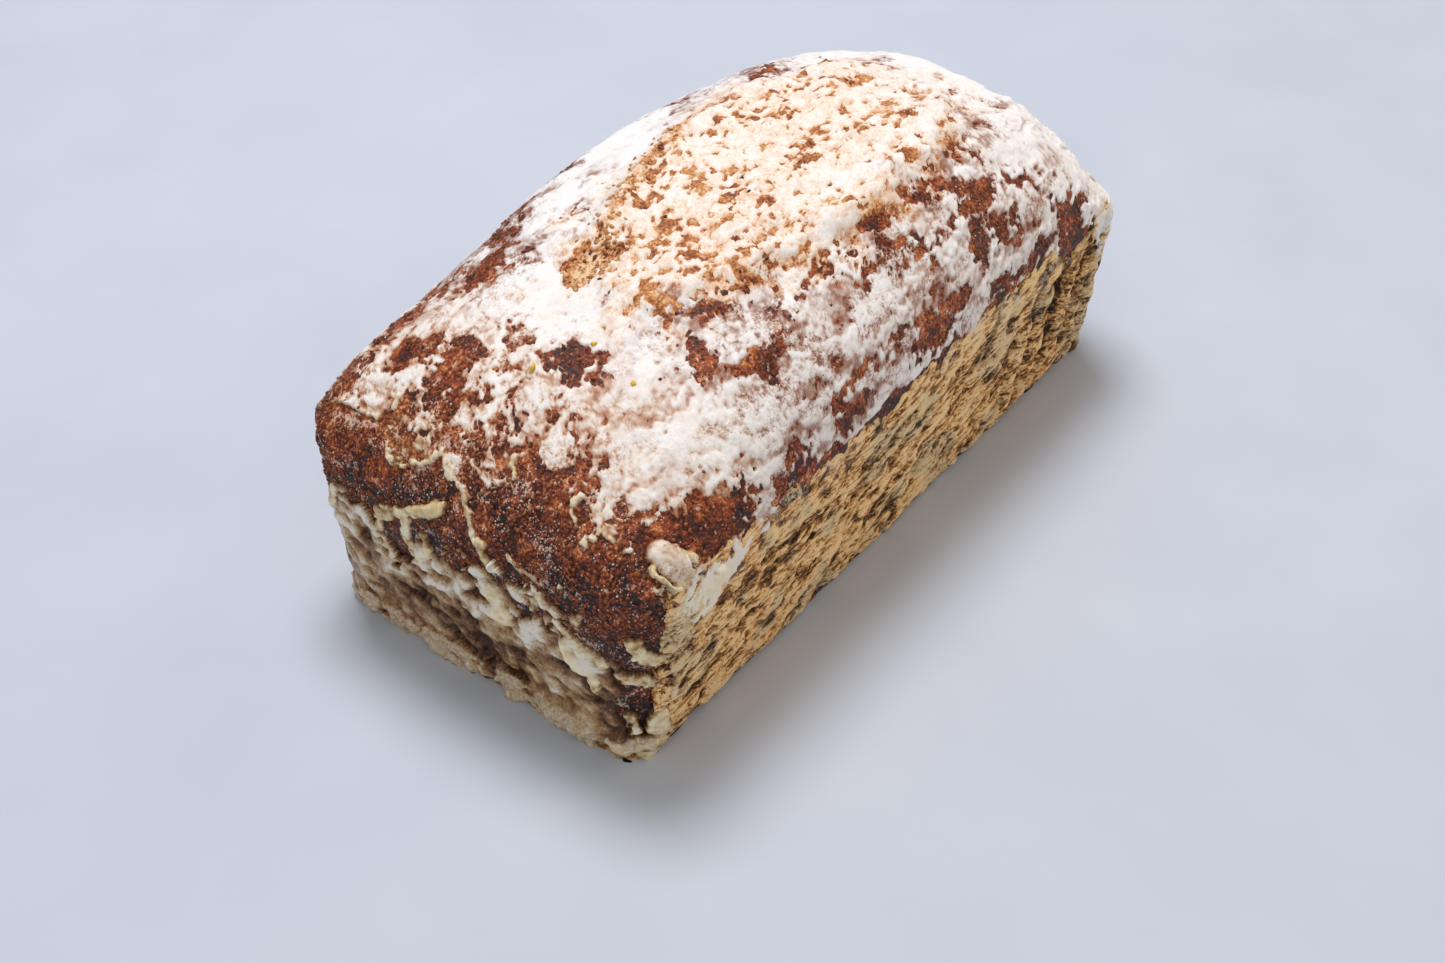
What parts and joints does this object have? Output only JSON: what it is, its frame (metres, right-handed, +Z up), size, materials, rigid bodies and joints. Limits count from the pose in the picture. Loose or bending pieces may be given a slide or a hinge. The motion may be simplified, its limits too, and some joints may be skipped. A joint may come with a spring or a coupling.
{
  "type": "glazed poppy seed loaf cake",
  "caption": "Whole glazed poppy seed loaf cake, baked in a flared tin, with a tall burst crown and set drips of sugar glaze on its walls.",
  "frame": {"origin": "centre of the cake's box, on the surface that it stands on", "axes": "+X along the loaf, +Z up; the plain long wall with the folds near its +X end faces -Y"},
  "size_m": [0.2244, 0.117, 0.1024],
  "materials": {
    "glazed crust": "baked crust with a set sugar glaze"
  },
  "bodies": {
    "root": {"poppy_seed_loaf": "glazed crust"}
  },
  "joints": []
}
